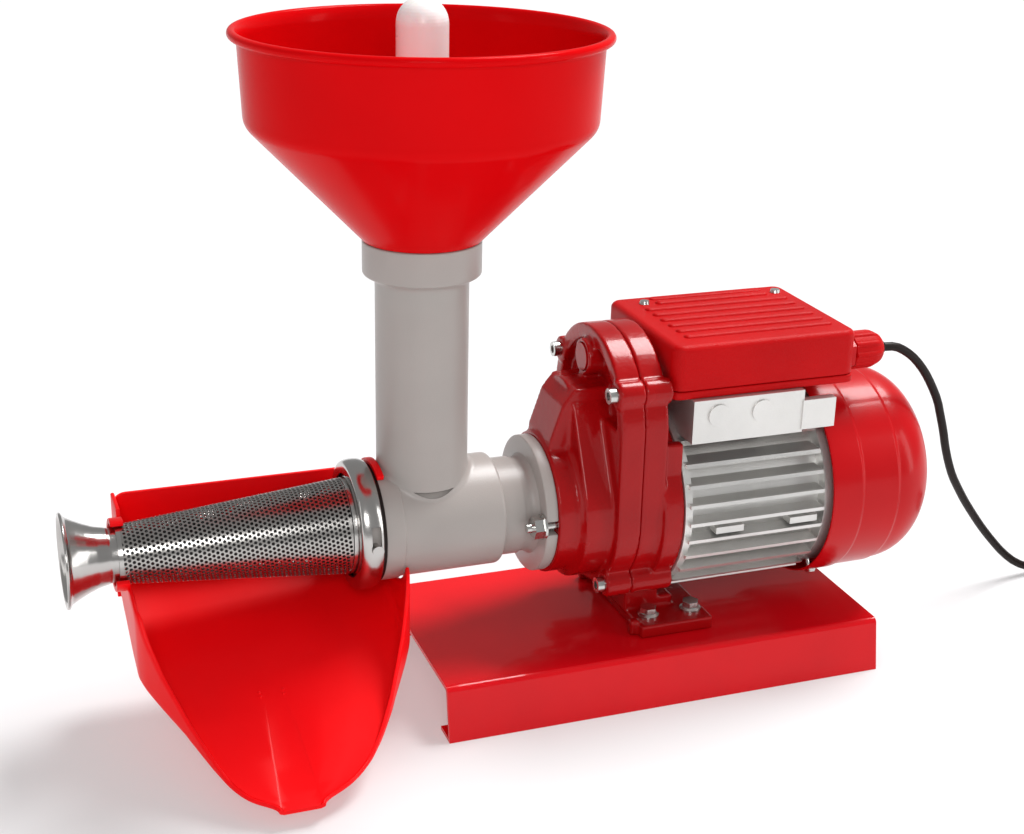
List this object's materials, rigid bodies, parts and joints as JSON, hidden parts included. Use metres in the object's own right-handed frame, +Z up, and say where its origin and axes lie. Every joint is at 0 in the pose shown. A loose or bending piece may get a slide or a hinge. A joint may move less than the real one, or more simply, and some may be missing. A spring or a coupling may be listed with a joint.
{
  "type": "electric fruit and tomato press",
  "caption": "Electric fruit and tomato press: red hopper on a feed tube, screw in a perforated cone, catch chute, gear case and finned motor on a folded sheet base.",
  "frame": {"origin": "on the floor, at the middle of the footprint without the cord: midway between the waste outlet and the fan cover, and between the chute spout and the hopper rim", "axes": "+X along the motor and screw axis towards the fan cover, +Y towards the back, +Z up"},
  "size_m": [0.826, 0.2524, 0.449],
  "materials": {
    "red_cast": "gloss with slight orange peel",
    "red_sheet": "gloss",
    "red_lid": "fine textured satin",
    "red_cover": "semi gloss",
    "hopper_red": "gloss",
    "chute_red": "gloss",
    "body_grey": "semi gloss",
    "aluminium": "cast satin",
    "stainless": "brushed",
    "gear_steel": "machined",
    "zinc": "zinc plated",
    "bronze": "sintered",
    "copper": "enamelled wire",
    "white_plastic": "satin",
    "black_plastic": "satin",
    "green_plastic": "gloss",
    "rubber": "matte"
  },
  "bodies": {
    "machine": {"base_plate": "red_sheet", "foot_bolts": "zinc", "foot_nuts": "zinc", "gear_case_front": "red_cast", "gear_case_rear": "red_cast", "case_screws": "zinc", "carrier_plate": "aluminium", "carrier_bush": "bronze", "output_bearing": "gear_steel", "output_seal": "rubber", "lay_bush_front": "bronze", "lay_bush_rear": "bronze", "filler_plug": "red_cast", "motor_frame": "aluminium", "stator_core": "gear_steel", "stator_windings": "copper", "drive_end_bearing": "gear_steel", "fan_end_bearing": "gear_steel", "end_shield": "aluminium", "tie_rods": "zinc", "fan_cover": "red_cover", "fan_cover_screws": "zinc", "terminal_box_base": "red_lid", "terminal_box_lid": "red_lid", "terminal_box_screws": "zinc", "run_capacitor": "white_plastic", "terminal_block": "white_plastic", "switch_body": "black_plastic", "gland_body": "red_cover", "gland_nut": "red_cover", "gland_seal": "rubber", "power_cord": "rubber", "cord_coil": "rubber", "plug_body": "rubber", "plug_pins": "zinc", "feed_body": "body_grey", "flange_studs": "zinc", "flange_nuts": "zinc", "body_gasket": "rubber", "bayonet_studs": "stainless"},
    "rotor": {"rotor_shaft": "gear_steel", "rotor_core": "gear_steel", "motor_pinion": "gear_steel", "cooling_fan": "black_plastic"},
    "layshaft": {"lay_shaft": "gear_steel", "lay_gear": "gear_steel", "lay_pinion": "gear_steel"},
    "output": {"output_shaft": "gear_steel", "output_gear": "gear_steel", "auger": "black_plastic"},
    "screen": {"bayonet_ring": "stainless", "screen_cone": "stainless", "waste_outlet": "stainless"},
    "chute": {"chute": "chute_red"},
    "hopper": {"hopper": "hopper_red"},
    "pestle": {"pestle": "white_plastic"},
    "rocker": {"switch_rocker": "green_plastic"}
  },
  "joints": [
    {"name": "rotor_spin", "type": "hinge", "parent": "machine", "child": "rotor", "pos_m": [-0.062, 0.01375, 0.1215], "axis": [1, 0, 0], "continuous": true},
    {"name": "layshaft_spin", "type": "hinge", "parent": "machine", "child": "layshaft", "pos_m": [-0.062, 0.01375, 0.1815], "axis": [1, 0, 0], "continuous": true},
    {"name": "output_spin", "type": "hinge", "parent": "machine", "child": "output", "pos_m": [-0.062, 0.01375, 0.1215], "axis": [1, 0, 0], "continuous": true},
    {"name": "screen_twist", "type": "hinge", "parent": "machine", "child": "screen", "pos_m": [-0.062, 0.01375, 0.1215], "axis": [1, 0, 0], "range_deg": [0, 20]},
    {"name": "chute_swing", "type": "hinge", "parent": "machine", "child": "chute", "pos_m": [-0.062, 0.01375, 0.1215], "axis": [1, 0, 0], "range_deg": [-25, 3]},
    {"name": "hopper_lift", "type": "slide", "parent": "machine", "child": "hopper", "axis": [0, 0, 1], "range_m": [0, 0.05]},
    {"name": "pestle_lift", "type": "slide", "parent": "hopper", "child": "pestle", "axis": [0, 0, 1], "range_m": [0, 0.15]},
    {"name": "switch_rock", "type": "hinge", "parent": "machine", "child": "rocker", "pos_m": [0.153, 0.06775, 0.221], "axis": [0, 0, 1], "range_deg": [0, 6]}
  ],
  "couplings": [
    {"joint": "layshaft_spin", "follows": "rotor_spin", "ratio": -0.2},
    {"joint": "output_spin", "follows": "rotor_spin", "ratio": 0.066667}
  ]
}
